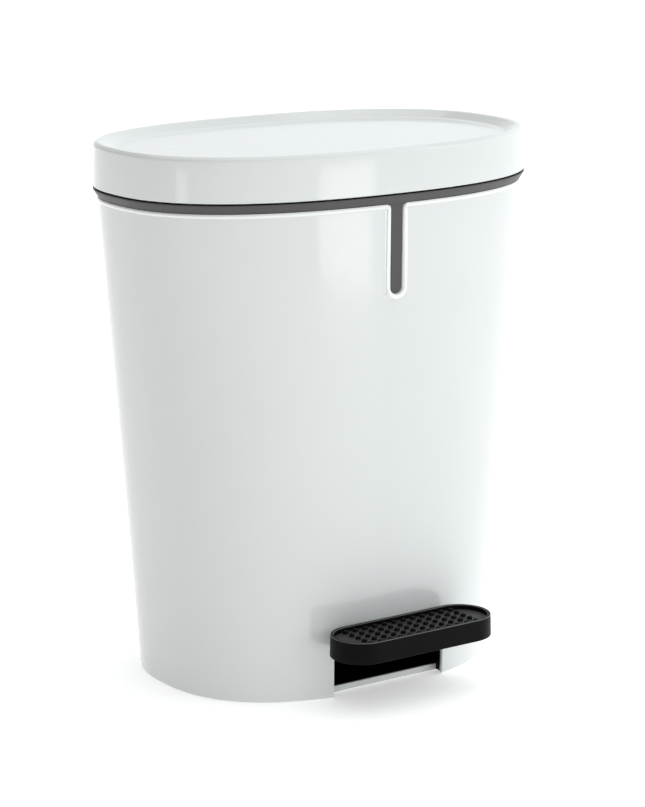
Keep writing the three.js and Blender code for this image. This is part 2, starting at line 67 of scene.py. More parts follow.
# ------------------------------------------------------------ sizes, in mm round the shell's centre
POWER = 2.4  # every horizontal section is |x/a|^n + |y/b|^n = 1
BODY_Y = 16.4
FLOOR_B, TOP_B = 113.9, 117.6  # the shell's front half axis at the floor and at its top edge
FLOOR_SPREAD, TOP_SPREAD = 36.9, 69.2  # how much longer the side half axis is
SHELL_BOTTOM, SHELL_TOP, WALL = 0.8, 405.2, 2.4
BORDER_FROM, NO_SLOT = 300, 99  # the border starts above this height; an x that lies beyond the slot
LID_B, LID_BOTTOM, TOP = 121.2, 413.9, 450.0
RING_BOTTOM, RING_TOP, RING_LIP_B = 405.7, 412.6, LID_B - 13
TONGUE_HALF, SLOT_HALF, SLOT_FILLET = 5.5, 6.0, 4.0
TONGUE_ARC_Z, TONGUE_STRAIGHT = 338.2, 62.5  # where the round lower end starts, and what is straight above
BUCKET_FLOOR, BUCKET_TOP = 70, 406.5
HINGE_Y, HINGE_Z, HINGE_X, KNUCKLE = 128.0, 411.0, 45.0, 5.2
BRACKET_HALF, HINGE_SCREWS = 12, (378, 391)  # half a bracket's width, and its screws' heights
WINDOW_HALF, WINDOW_TOP = 55.2, 56.0
SILL_FRONT, SILL_BACK, SILL_HALF, LIP_TOP = -98.3, -95.9, 62, 6.1  # the bar across the window's foot
CHEEK_INNER, CHEEK_OUTER, CHEEK_TOP = 57.2, 58.8, 54  # the walls beside the window
AHEAD, ROOT_Z = -140, 4.4  # a y in front of the shell; ribs, posts and cheeks start inside the base plate
SHOE_Y, SHOE_STRAIGHT, SHOE_RADIUS, SHOE_BOTTOM, SHOE_TOP = -140.4, 50.3, 25.6, 44.5, 62.5
DECK_BOTTOM, TREAD_FLOOR, TREAD_TOP = 54.9, 57.3, 58.9
PIP_TOP, PIP_RADIUS, PIP_X, PIP_Y, PIP_COLUMNS, PIP_ROWS = 61.5, 2.4, 9.7, 8.6, 12, 5
PEDAL_SCREW_X, PEDAL_SCREW_Y = 30, -138
PIVOT_Y, PIVOT_Z, AXLE_RADIUS, ROD_Y, WIRE_RADIUS = -8, 32, 2.98, 107, 1.98
FOOT_X, FOOT_Y, BOSS_X, BOSS_Y = 108, 52, 88, 77
BUMPER_X, BUMPER_Y, CAM_SCREW_X, CAM_SCREW_Y = 60, -107.4, 14, 95
SCREW_HOLE, WIRE_HOLE, GAP = 1.7, 2.3, 0.3


# ------------------------------------------------------------ materials
def new_material(name, color, roughness, metallic=0.0, coat=0.0):
    """A principled material with plain values, and its shader."""
    made = bpy.data.materials.new(name)
    made.use_nodes = True
    shader = made.node_tree.nodes["Principled BSDF"]
    shader.inputs["Base Color"].default_value = (*color, 1)
    shader.inputs["Roughness"].default_value = roughness
    shader.inputs["Metallic"].default_value = metallic
    shader.inputs["Coat Weight"].default_value = coat
    shader.inputs["Coat Roughness"].default_value = 0.08
    return made, shader


def node(made, kind, **inputs):
    added = made.node_tree.nodes.new(kind)
    for key, value in inputs.items():
        added.inputs[key.replace("_", " ")].default_value = value
    return added


def noise(made, scale, detail, stretch=(1, 1, 1)):
    """Noise in the object's own coordinates, scale in features per metre."""
    tree = made.node_tree
    place = tree.nodes.new("ShaderNodeTexCoord")
    mapping = node(made, "ShaderNodeMapping", Scale=stretch)
    grain = node(made, "ShaderNodeTexNoise", Scale=scale, Detail=detail)
    tree.links.new(place.outputs["Object"], mapping.inputs["Vector"])
    tree.links.new(mapping.outputs["Vector"], grain.inputs["Vector"])
    return grain


def vary(made, socket, grain, low, high):
    """Drives a socket from a noise, between two values or colours."""
    tree = made.node_tree
    if isinstance(low, tuple):
        ramp = tree.nodes.new("ShaderNodeValToRGB")
        ramp.color_ramp.elements[0].color = (*low, 1)
        ramp.color_ramp.elements[1].color = (*high, 1)
        ramp.color_ramp.elements[0].position = 0.3
        ramp.color_ramp.elements[1].position = 0.7
        tree.links.new(grain.outputs["Fac"], ramp.inputs["Fac"])
        tree.links.new(ramp.outputs["Color"], socket)
        return
    spread = node(made, "ShaderNodeMapRange", From_Min=0.3, From_Max=0.7, To_Min=low, To_Max=high)
    tree.links.new(grain.outputs["Fac"], spread.inputs["Value"])
    tree.links.new(spread.outputs["Result"], socket)


def bump(made, shader, grain, height):
    dent = node(made, "ShaderNodeBump", Strength=1.0, Distance=height)
    made.node_tree.links.new(grain.outputs["Fac"], dent.inputs["Height"])
    made.node_tree.links.new(dent.outputs["Normal"], shader.inputs["Normal"])


def plastic(name, dark, light, roughness, grain_scale, grain_height, coat=0.0, level=0.5):
    """A plastic whose colour, roughness and surface each carry a fine noise of their own."""
    made, shader = new_material(name, light, roughness, coat=coat)
    shader.inputs["Specular IOR Level"].default_value = level
    vary(made, shader.inputs["Base Color"], noise(made, 9, 4), dark, light)
    vary(made, shader.inputs["Roughness"], noise(made, 55, 4), roughness - 0.03, roughness + 0.04)
    bump(made, shader, noise(made, grain_scale, 2), grain_height)
    return made


def metal(name, color, roughness, stretch):
    """A metal with the same three noises, two of them drawn out along an axis."""
    made, shader = new_material(name, color, roughness, metallic=1.0)
    vary(made, shader.inputs["Roughness"], noise(made, 260, 4, stretch), roughness - 0.08, roughness + 0.12)
    vary(made, shader.inputs["Base Color"], noise(made, 40, 3), tuple(c * 0.88 for c in color), color)
    bump(made, shader, noise(made, 900, 2, stretch), 0.00003)
    return made


white = plastic("white_gloss", (0.688, 0.71, 0.708), (0.70, 0.722, 0.72), 0.12, 26, 0.0001, coat=0.5)
# the raised border's white: lighter than the shell as a painted highlight, and glossier with more coat
border_painted_highlight = plastic("white_polished", (0.82, 0.835, 0.83), (0.86, 0.875, 0.87), 0.08, 26, 0.0001, coat=0.7)
ring_grey = plastic("ring_grey", (0.068, 0.068, 0.066), (0.08, 0.08, 0.077), 0.42, 1500, 0.00003, level=0.3)
bucket_grey = plastic("bucket_grey", (0.40, 0.42, 0.43), (0.44, 0.46, 0.47), 0.4, 900, 0.00004)
black = plastic(
    "black_satin", (0.0016, 0.0016, 0.0016), (0.0032, 0.0032, 0.003), 0.42, 1400, 0.00003, level=0.07
)
tread_black = plastic(
    "tread_rubber", (0.026, 0.027, 0.027), (0.038, 0.039, 0.038), 0.5, 1800, 0.00004, level=0.25
)
# the tread's rubber made near black on the pips: painted shade on their faces
pip_painted_shade = plastic(
    "pip_rubber_painted_shade", (0.0015, 0.0015, 0.0015), (0.004, 0.004, 0.004), 0.6, 1800, 0.00004, level=0.1
)
# lighter grey for the rounded edges of the shoe's rim: painted highlight lines
rim_painted_highlight = plastic("rim_painted_highlight", (0.07, 0.072, 0.07), (0.13, 0.132, 0.128), 0.3, 1400, 0.00003)
foot_black = plastic("foot_rubber", (0.018, 0.018, 0.018), (0.03, 0.03, 0.03), 0.75, 1800, 0.00006)
steel = metal("zinc_steel", (0.58, 0.59, 0.61), 0.32, (1, 1, 0.15))
LOOKS = {
    "shell_plastic": white,
    "ring_plastic": ring_grey,
    "bucket_plastic": bucket_grey,
    "black_plastic": black,
    "tread_rubber": tread_black,
    "foot_rubber": foot_black,
    "steel": steel,
}
SLOT_OF = {part["node"]: part["material_slot"] for part in frame["record"]["subparts"]}


# ------------------------------------------------------------ mesh helpers
def body_of(name):
    return frame["nodes"][name]["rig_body"]


def new_object(name, points, faces):
    """An object from points in mm round the shell's centre."""
    mesh = bpy.data.meshes.new(name)
    mesh.from_pydata([(x * MM, (y + BODY_Y) * MM, z * MM) for x, y, z in points], [], faces)
    made = bpy.data.objects.new(name, mesh)
    bpy.context.scene.collection.objects.link(made)
    return made


def fix_normals(made):
    work = bmesh.new()
    work.from_mesh(made.data)
    bmesh.ops.recalc_face_normals(work, faces=work.faces)
    work.to_mesh(made.data)
    work.free()


def bake(made):
    """Applies the object's modifiers."""
    bpy.context.view_layer.update()
    seen = made.evaluated_get(bpy.context.evaluated_depsgraph_get())
    mesh = bpy.data.meshes.new_from_object(seen)
    made.modifiers.clear()
    made.data = mesh


def boolean(made, operation, *others):
    for other in others:
        step = made.modifiers.new("step", "BOOLEAN")
        step.operation = operation
        step.object = other
        step.solver = "MANIFOLD"
        bake(made)
        bpy.data.objects.remove(other)
    return made


def cut(made, *others):
    return boolean(made, "DIFFERENCE", *others)


def keep(made, other):
    return boolean(made, "INTERSECT", other)


def union(made, *others):
    return boolean(made, "UNION", *others)


def bevel(made, width):
    step = made.modifiers.new("edges", "BEVEL")
    step.width = width * MM
    step.segments = 2
    step.limit_method = "ANGLE"
    step.angle_limit = math.radians(35)
    bake(made)
    return made


def finish_piece(made, name, *more, angle=38):
    """Smooths a piece, gives it its node's material and body, and puts it in the node's place."""
    made.name = name + "_fine"
    for polygon in made.data.polygons:
        polygon.use_smooth = True
    made.data.set_sharp_from_angle(angle=math.radians(angle))
    made.data.materials.clear()
    made.data.materials.append(LOOKS[SLOT_OF[name]])
    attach(made, body_of(name))
    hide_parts(name, *more)
    return made


def second_look(made, look, chosen):
    """Gives some of a finished piece's faces a material of their own."""
    made.data.materials.append(look)
    for polygon in made.data.polygons:
        if chosen(polygon):
            polygon.material_index = 1


def fillet(profile):
    """A closed profile of (u, v, radius) corners as points, each corner with a radius rounded."""
    points = []
    count = len(profile)
    for i, (u, v, radius) in enumerate(profile):
        here = Vector((u, v))
        if not radius:
            points.append((u, v))
            continue
        before = Vector(profile[i - 1][:2]) - here
        after = Vector(profile[(i + 1) % count][:2]) - here
        half = before.angle(after) / 2
        reach = min(radius / math.tan(half), 0.49 * before.length, 0.49 * after.length)
        start = here + before.normalized() * reach
        end = here + after.normalized() * reach
        for step in range(7):
            t = step / 6
            point = start * (1 - t) ** 2 + here * 2 * t * (1 - t) + end * t * t
            points.append(tuple(point))
    return points


def oval_point(a, b, angle):
    c, s = math.cos(angle), math.sin(angle)
    k = (abs(c) ** POWER + abs(s) ** POWER) ** (-1 / POWER)
    return a * k * c, b * k * s


def spread_at(z):
    """How much longer the side half axis is than the front one at a height."""
    return FLOOR_SPREAD + (TOP_SPREAD - FLOOR_SPREAD) * min(z, SHELL_TOP) / SHELL_TOP


def shell_b(z):
    """The shell's front half axis at a height."""
    return FLOOR_B + (TOP_B - FLOOR_B) * z / SHELL_TOP


def shell_front(x, z, out=0.0):
    """y of the shell's outer face at the front."""
    b = shell_b(z) + out
    a = b + spread_at(z)
    return -b * (1 - (abs(x) / a) ** POWER) ** (1 / POWER)


def shell_ring(b, z):
    """An oval (a, b, y, z) with the shell's own spread at that height."""
    return b + spread_at(z), b, 0.0, z


def join_rings(rows, closed, cap):
    """Faces between rows of equal length. closed joins the last row to the first; cap closes both ends."""
    faces = []
    steps = len(rows[0])
    points = [p for row in rows for p in row]
    for j in range(len(rows) if closed else len(rows) - 1):
        low, high = j * steps, ((j + 1) % len(rows)) * steps
        for i in range(steps):
            n = (i + 1) % steps
            faces.append((low + i, low + n, high + n, high + i))
    if cap:
        for row in (0, len(rows) - 1):
            points.append(tuple(sum(p[k] for p in rows[row]) / steps for k in range(3)))
            centre = len(points) - 1
            faces += [(row * steps + i, row * steps + (i + 1) % steps, centre) for i in range(steps)]
    return points, faces


def oval_loft(name, rings, steps, closed=True):
    """A band of ovals (a, b, y, z): closed on itself, or with its two ends capped."""
    rows = []
    for a, b, y, z in rings:
        row = []
        for i in range(steps):
            px, py = oval_point(a, b, TURN * i / steps)
            row.append((px, y + py, z))
        rows.append(row)
    made = new_object(name, *join_rings(rows, closed, not closed))
    fix_normals(made)
    return made


def block(x0, x1, y0, y1, z0, z1):
    corners = [(x, y, z) for z in (z0, z1) for y in (y0, y1) for x in (x0, x1)]
    faces = [(0, 2, 3, 1), (4, 5, 7, 6), (0, 1, 5, 4), (2, 6, 7, 3), (0, 4, 6, 2), (1, 3, 7, 5)]
    return new_object("block", corners, faces)


def prism(axis, outline, low, high):
    """A flat outline, as points in the two other axes in order, between two values along an axis."""
    place = {
        "x": lambda u, v, w: (w, u, v),
        "y": lambda u, v, w: (u, w, v),
        "z": lambda u, v, w: (u, v, w),
    }[axis]
    count = len(outline)
    points = [place(u, v, w) for w in (low, high) for u, v in outline]
    faces = [tuple(range(count)), tuple(range(count, 2 * count))]
    faces += [(i, (i + 1) % count, count + (i + 1) % count, count + i) for i in range(count)]
    made = new_object("prism", points, faces)
    fix_normals(made)
    return made


def turned(axis, centre, profile, steps=48):
    """A solid of revolution. The profile is (radius, height along the axis); its ends are capped."""
    place = {
        "x": lambda c, s, h: (centre[0] + h, centre[1] + c, centre[2] + s),
        "y": lambda c, s, h: (centre[0] + c, centre[1] + h, centre[2] + s),
        "z": lambda c, s, h: (centre[0] + c, centre[1] + s, centre[2] + h),
    }[axis]
    rows = []
    for radius, height in profile:
        angles = [TURN * i / steps for i in range(steps)]
        rows.append([place(radius * math.cos(t), radius * math.sin(t), height) for t in angles])
    made = new_object("turned", *join_rings(rows, False, True))
    fix_normals(made)
    return made


def barrel(radius, low, high, edge):
    """The profile of a cylinder with rounded ends."""
    bend = [(edge * (1 - math.cos(t)), edge * math.sin(t)) for t in (math.pi / 2 * k / 4 for k in range(5))]
    first = [(radius - edge + edge * math.sin(math.pi / 2 * k / 4), low + bend[k][0]) for k in range(5)]
    return first + [(r, high + low - h) for r, h in reversed(first)]


def drill(axis, centre, radius, low, high):
    """A plain cylinder to cut with."""
    return turned(axis, centre, [(radius, low), (radius, high)])


def arc(u, v, radius, start, end, steps):
    """Points on an arc, angles in degrees."""
    angles = [math.radians(start + (end - start) * i / steps) for i in range(steps + 1)]
    return [(u + radius * math.cos(t), v + radius * math.sin(t)) for t in angles]


# ------------------------------------------------------------ shell
def shell_core(z0, z1, out):
    """The solid inside the shell's outer face, moved out by an offset."""
    rings = [shell_ring(shell_b(z) + out, z) for z in (z0, z1)]
    return oval_loft("core", rings, 200, closed=False)


def slot_distance(x, z):
    """(distance outside the slot and the top edge together, share of it that is the slot's)."""
    strip = abs(x) - SLOT_HALF if z > TONGUE_ARC_Z else math.hypot(x, z - TONGUE_ARC_Z) - SLOT_HALF
    edge = SHELL_TOP - z
    r = SLOT_FILLET
    joined = max(r, min(strip, edge)) - math.hypot(max(r - strip, 0), max(r - edge, 0))
    share = min(max(0.5 + (edge - strip) / 5, 0), 1)
    return joined, share


def border_height(d, share):
    """The raised border beside the slot, and the lower one under the top edge."""
    width = 3.5 + 1.4 * share
    rise = min(max(min(d, width - d) / 1.1, 0), 1)
    return (0.8 + 0.5 * share) * rise * rise * (3 - 2 * rise)


def on_border(face):
    """Whether a face of the shell lies on the raised border, but for the foot of its outer flank: the faces
    that get the painted highlight.
    """
    x, y, z = face.center.x / MM, face.center.y / MM - BODY_Y, face.center.z / MM
    b = shell_b(z)
    if z < BORDER_FROM or (abs(x) / (b + spread_at(z))) ** POWER + (abs(y) / b) ** POWER < 0.995:
        return False
    d, share = slot_distance(x if y < 0 else NO_SLOT, z)
    return -0.2 < d < 3.0 + 1.2 * share


def shell_outer_out(x, z):
    """How far the shell's face stands out from its oval: the border is raised, the slot is sunk."""
    if z < BORDER_FROM:
        return 0.0
    d, share = slot_distance(x, z)
    if d > 0:
        return border_height(d, share)
    return -2.0 * min(-d / 0.35, 1.0)


def build_shell():
    front_half_axis = 183.5
    fine = [-TURN / 4 + 0.4 * k / front_half_axis for k in range(-36, 37)]
    coarse = [TURN * i / 300 for i in range(-75, 225)]
    angles = sorted(fine + [t for t in coarse if not fine[0] - 0.01 < t < fine[-1] + 0.01])
    heights = [3 + 4.1 * k for k in range(79)]
    heights += [326 + 0.5 * k for k in range(159)]
    rows = []

    def add_row(z, out, shaped=False):
        b = shell_b(z) + out
        row = []
        for t in angles:
            x, y = oval_point(b + spread_at(z), b, t)
            if shaped and (y < 0 or z > SHELL_TOP - 4):
                near = x if y < 0 else NO_SLOT
                bulge = shell_outer_out(near, z)
                x, y = oval_point(b + spread_at(z) + bulge, b + bulge, t)
            row.append((x, y, z))
        rows.append(row)

    for z, out in ((SHELL_BOTTOM, -1.3), (0.95, -0.7), (1.3, -0.3), (1.9, -0.08)):
        add_row(z, out)
    for z in heights:
        add_row(z, 0, shaped=True)
    add_row(SHELL_TOP, 0, shaped=True)
    # down the inner wall, inwards along the floor lip, over its raised edge and down to the bottom
    inside = [(z, -WALL) for z in (SHELL_TOP, 300, 200, 100, 5.2)]
    inside += [(3.9, -WALL - 0.4), (3.2, -WALL - 1.8), (3.2, -10.4), (3.6, -11), (5.3, -11), (5.9, -11.3)]
    inside += [(LIP_TOP, -11.9), (LIP_TOP, -12.6), (5.9, -13.1), (5.4, -13.4), (SHELL_BOTTOM, -13.4)]
    for z, out in inside:
        add_row(z, out)
    shell = new_object("shell", *join_rings(rows, True, False))
    fix_normals(shell)

    opening = prism("y", window_outline(WINDOW_HALF, WINDOW_TOP, 3), AHEAD, SILL_FRONT)
    chamfer = prism("y", window_outline(WINDOW_HALF + 0.5, WINDOW_TOP + 0.5, 3.4), AHEAD, -60)
    cut(chamfer, shell_core(-3, 70, -0.4))
    room_half = SILL_HALF + 1
    cheek_room = block(-room_half, room_half, AHEAD, SILL_FRONT, -1, 4.2)
    cut(shell, opening, chamfer, keep(cheek_room, shell_core(-3, 20, -WALL - 0.05)))
    union(shell, bevel(block(-SILL_HALF, SILL_HALF, SILL_FRONT, SILL_BACK, SHELL_BOTTOM, LIP_TOP), 0.5))
    for side in (-1, 1):
        for z in HINGE_SCREWS:
            cut(shell, drill("y", (side * HINGE_X, 0, z), SCREW_HOLE, 108, 124))
    finish_piece(shell, "outer_shell", angle=30)
    # the raised border gets the lighter white, a painted highlight
    second_look(shell, border_painted_highlight, on_border)


def window_outline(half, top, radius):
    """A door-shaped outline in (x, z) with two rounded upper corners."""
    right = arc(half - radius, top - radius, radius, 0, 90, 8)
    left = [(-x, z) for x, z in reversed(right)]
    return [(-half, -1), (half, -1)] + right + left


# ------------------------------------------------------------ rim ring with its tongue
def build_ring():
    skirt, plug_top, plug_bottom = -WALL - 0.4, 404.4, 394
    corners = [
        (LID_B - 3.4, RING_BOTTOM, 0.3),
        (LID_B + 0.35, RING_TOP - 0.6, 0.5),
        (LID_B - 0.1, RING_TOP, 0.2),
        (LID_B - 5, RING_TOP, 0.4),
        (LID_B - 5, 406.2, 0.3),
        (RING_LIP_B, 406.2, 0.4),
        (RING_LIP_B, plug_top, 0.4),
        (shell_b(plug_top) + skirt - 1.8, plug_top, 0.5),
        (shell_b(plug_bottom) + skirt - 1.8, plug_bottom, 0.4),
        (shell_b(plug_bottom) + skirt, plug_bottom, 0.6),
        (shell_b(SHELL_TOP) + skirt, RING_BOTTOM, 0),
    ]
    ring = oval_loft("ring", [shell_ring(b, z) for b, z in fillet(corners)], 360)
    cut(ring, block(-8, 8, 100, 111.4, 403.2, 407.2))
    union(ring, build_tongue())
    finish_piece(ring, "rim_ring")


def build_tongue():
    """A strip that follows the shell's front, with rounded edges and a round lower end."""
    rows = []
    turns = [math.pi / 2 * k / 16 for k in range(1, 17)]
    levels = [(TONGUE_ARC_Z - TONGUE_HALF * math.cos(t), TONGUE_HALF * math.sin(t)) for t in turns]
    levels += [(TONGUE_ARC_Z + TONGUE_STRAIGHT * k / 20, TONGUE_HALF) for k in range(1, 21)]
    flare = SLOT_FILLET + SLOT_HALF - TONGUE_HALF
    top = RING_BOTTOM
    levels += [
        (top - flare + flare * math.sin(t), TONGUE_HALF + flare * (1 - math.cos(t)))
        for t in (math.pi / 2 * k / 10 for k in range(1, 10))
    ]
    levels.append((406.1, TONGUE_HALF + flare))
    across = [-1, -0.97, -0.9, -0.8, -0.6, -0.3, 0, 0.3, 0.6, 0.8, 0.9, 0.97, 1]
    round_depth, round_width = 0.7, 0.8
    for z, half in levels:
        front, back = [], []
        for share in across:
            x = share * half
            edge = half - abs(x)
            if z < TONGUE_ARC_Z:
                edge = TONGUE_HALF - math.hypot(x, z - TONGUE_ARC_Z)
            if z > top - flare:
                edge = 1
            drop = round_depth * (1 - math.sqrt(max(0, 1 - max(0, 1 - edge / round_width) ** 2)))
            front.append((x, shell_front(x, z, -0.15 - drop), z))
            back.append((x, shell_front(x, z, -1.75), z))
        rows.append(front + back[::-1])
    tongue = new_object("tongue", *join_rings(rows, False, True))
    fix_normals(tongue)
    return tongue


# ------------------------------------------------------------ bucket
def build_bucket():
    def ring(b, z):
        """An oval 5 mm in front of the shell's centre. The flange's rim is centred, like the shell."""
        height = (z - BUCKET_FLOOR) / (BUCKET_TOP - BUCKET_FLOOR)
        wall_b = 96 + 5 * height
        if z < 400 or b <= wall_b:
            return b + 44 + 31 * height, b, -5.0, z
        share = (b - wall_b) / (LID_B - 5.6 - wall_b)
        return b + 75 - 5.8 * share, b, -5 + 5 * share, z

    corners = [
        (40, BUCKET_FLOOR, 0),
        (91, BUCKET_FLOOR, 4),
        (96.2, BUCKET_FLOOR + 5, 4),
        (101, BUCKET_TOP, 1.2),
        (LID_B - 5.7, BUCKET_TOP, 0.5),
        (LID_B - 5.7, BUCKET_TOP + 1.8, 0.8),
        (99.2, BUCKET_TOP + 1.8, 1.4),
        (94.3, 76, 5),
        (88, 71.8, 4),
        (40, 71.8, 0),
    ]
    profile = fillet(corners)
    rings = []
    for i, (b, z) in enumerate(profile):
        rings.append(ring(b, z))
        nxt = profile[(i + 1) % len(profile)]
        if abs(nxt[1] - z) > 100:
            for k in range(1, 8):
                rings.append(ring(b + (nxt[0] - b) * k / 8, z + (nxt[1] - z) * k / 8))
    bucket = oval_loft("bucket", rings, 256, closed=False)
    notch = arc(-9, 398, 3, 180, 270, 6) + arc(9, 398, 3, 270, 360, 6) + [(12, 420), (-12, 420)]
    cut(bucket, prism("y", notch, 84, 125))
    finish_piece(bucket, "inner_bucket")


# ------------------------------------------------------------ lid
def build_lid():
    corners = [
        (LID_B - WALL + 0.2, LID_BOTTOM, 0.5),
        (LID_B, LID_BOTTOM, 0.9),
        (LID_B - 0.6, TOP - 2.2, 2.6),
        (LID_B - 3.6, TOP + 0.1, 2.2),
        (LID_B - 7.2, TOP - 0.4, 3),
        (LID_B - 16.6, TOP - 5.2, 3),
        (LID_B - 20.5, TOP - 5.7, 2),
        (30, TOP - 5.7, 0),
        (30, TOP - 7.9, 0),
        (LID_B - 19.5, TOP - 7.9, 2),
        (LID_B - 8, TOP - 2.9, 3),
        (LID_B - 0.7 - WALL, TOP - 4.5, 2),
    ]
    profile = fillet(corners)
    start = next(i for i, p in enumerate(profile) if p == (30, TOP - 7.9))
    profile = profile[start:] + profile[:start]
    lid = oval_loft("lid", [shell_ring(b, z) for b, z in profile], 360, closed=False)
    for side in (-1, 1):
        x = side * HINGE_X
        knuckle = arc(HINGE_Y, HINGE_Z, KNUCKLE, 190, 395, 20)
        outline = [(120.2, 414.6), (123.2, 414.1)] + knuckle + [(126, 424), (123.2, 428), (120.2, 428)]
        ear = prism("x", outline, x - 7, x + 7)
        bevel(cut(ear, drill("x", (0, HINGE_Y, HINGE_Z), WIRE_HOLE, x - 9, x + 9)), 0.5)
        boss = turned("z", (side * CAM_SCREW_X, CAM_SCREW_Y, 0), barrel(4, 434, 443, 0.4))
        cut(boss, drill("z", (side * CAM_SCREW_X, CAM_SCREW_Y, 0), SCREW_HOLE, 433, 441))
        column = turned("z", (side * BUMPER_X, BUMPER_Y, 0), barrel(3.6, 411, 446, 0.4))
        union(lid, ear, boss, column)
    finish_piece(lid, "lid_cover", angle=32)


# ------------------------------------------------------------ hinge
def build_bracket(side, hand):
    name = f"hinge_bracket_{hand}"
    x0 = side * HINGE_X
    rows = []
    low, middle, high, outer = 370.2, 384, 399, 121.3
    for k in range(17):
        x = x0 - BRACKET_HALF + 2 * BRACKET_HALF * k / 16
        inner = -shell_front(x, middle, 0.35)
        rows.append([(x, inner, low), (x, inner, high), (x, outer, high), (x, outer, low)])
    pad = new_object("pad", *join_rings(rows, False, True))
    fix_normals(pad)
    bevel(pad, 0.6)
    for end in (-1, 1):
        near, far = sorted((x0 + end * 7.6, x0 + end * BRACKET_HALF))
        knuckle = arc(HINGE_Y, HINGE_Z, KNUCKLE, -20, 200, 22)
        outline = [(119.2, 383), (121.5, 383), (129, 396)] + knuckle + [(123.1, 402), (119.2, 398)]
        union(pad, bevel(prism("x", outline, near, far), 0.5))
    cut(pad, drill("x", (0, HINGE_Y, HINGE_Z), WIRE_HOLE, x0 - 13, x0 + 13))
    for z in HINGE_SCREWS:
        cut(pad, drill("y", (x0, 0, z), SCREW_HOLE, 105, 126))
    finish_piece(pad, name)


def build_pin(side, hand):
    x = side * HINGE_X
    shank = [(r, side * h) for r, h in barrel(WIRE_RADIUS, -12.3, 12.6, 0.3)]
    head = [(r, side * h) for r, h in barrel(3.38, 12.35, 13.55, 0.5)]
    pin = turned("x", (x, HINGE_Y, HINGE_Z), shank)
    union(pin, turned("x", (x, HINGE_Y, HINGE_Z), head))
    finish_piece(pin, f"hinge_pin_{hand}")


def build_screw(name, axis):
    """A pan head screw with a cross recess. Its head is at the low end in z, or the high end in y."""
    low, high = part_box(name)
    middle = (low + high) / 2 / MM
    middle.y -= BODY_Y
    length = (high - low)["xyz".index(axis)] / MM
    up = 1 if axis == "z" else -1
    base = [middle.x, middle.y, middle.z]
    base["xyz".index(axis)] -= up * length / 2
    head = [(0.6, 0), (1.6, 0.02), (2.5, 0.22), (3.0, 0.6), (3.18, 1.1), (3.15, 1.5)]
    thread = []
    height, pitch = 1.5, 0.7
    while height < length - 1.2:
        thread += [(1.08, height), (1.38, height + 0.3), (1.38, height + 0.4)]
        height += pitch
    profile = [(r, up * h) for r, h in head + thread + [(1.0, length - 0.9), (0.35, length - 0.05)]]
    screw = turned(axis, base, profile, 32)
    x, y, z = base
    for wide, narrow in ((1.7, 0.35), (0.35, 1.7)):
        if axis == "y":
            slot = block(x - wide, x + wide, y - 0.9, y + 1, z - narrow, z + narrow)
        else:
            slot = block(x - wide, x + wide, y - narrow, y + narrow, z - 1, z + 0.9)
        cut(screw, slot)
    finish_piece(screw, name)


# ------------------------------------------------------------ pedal
def stadium(radius, z):
    """Points round the shoe's plan, at one distance from its middle line."""
    steps, straight = 40, 14
    turns = [math.pi * (k / steps - 0.5) for k in range(steps + 1)]
    right = [(SHOE_STRAIGHT + radius * math.cos(t), SHOE_Y + radius * math.sin(t)) for t in turns]
    back = [(SHOE_STRAIGHT * (1 - 2 * k / straight), SHOE_Y + radius) for k in range(1, straight)]
    left = [(-x, 2 * SHOE_Y - y) for x, y in right]
    front = [(-x, 2 * SHOE_Y - y) for x, y in back]
    return [(x, y, z) for x, y in right + back + left + front]


def stadium_loft(name, profile):
    made = new_object(name, *join_rings([stadium(r, z) for r, z in profile], False, True))
    fix_normals(made)
    return made


def on_rim_edge(face):
    """Whether a face lies on one of the two rounded edges of the shoe's rim, the faces that get a painted
    highlight.
    """
    return face.center.z > (SHOE_TOP - 0.9) * MM and 0.25 < face.normal.z < 0.93


def build_shoe():
    r = SHOE_RADIUS
    corners = [
        (4, DECK_BOTTOM, 0),
        (r - 2.6, DECK_BOTTOM, 1),
        (r - 2.2, SHOE_BOTTOM, 0.6),
        (r, SHOE_BOTTOM, 0.8),
        (r - 0.1, SHOE_BOTTOM + 3, 2),
        (r - 0.5, SHOE_TOP, 0.8),
        (r - 3.2, SHOE_TOP, 0.7),
        (r - 3.3, TREAD_FLOOR, 0.5),
        (4, TREAD_FLOOR, 0),
    ]
    profile = fillet(corners)
    shoe = stadium_loft("shoe", profile)
    half, chamfer = 51, 2
    opening = [(-half, 40), (half, 40), (half, DECK_BOTTOM - chamfer), (half - chamfer, DECK_BOTTOM)]
    opening += [(chamfer - half, DECK_BOTTOM), (-half, DECK_BOTTOM - chamfer)]
    cut(shoe, prism("y", opening, SHOE_Y, SHOE_Y + 26))
    for side in (-1, 1):
        cut(shoe, drill("z", (side * PEDAL_SCREW_X, PEDAL_SCREW_Y, 0), SCREW_HOLE, 53.9, 56.5))
    finish_piece(shoe, "pedal_shoe")
    # the rim's rounded edges get the lighter grey, a painted highlight
    second_look(shoe, rim_painted_highlight, on_rim_edge)


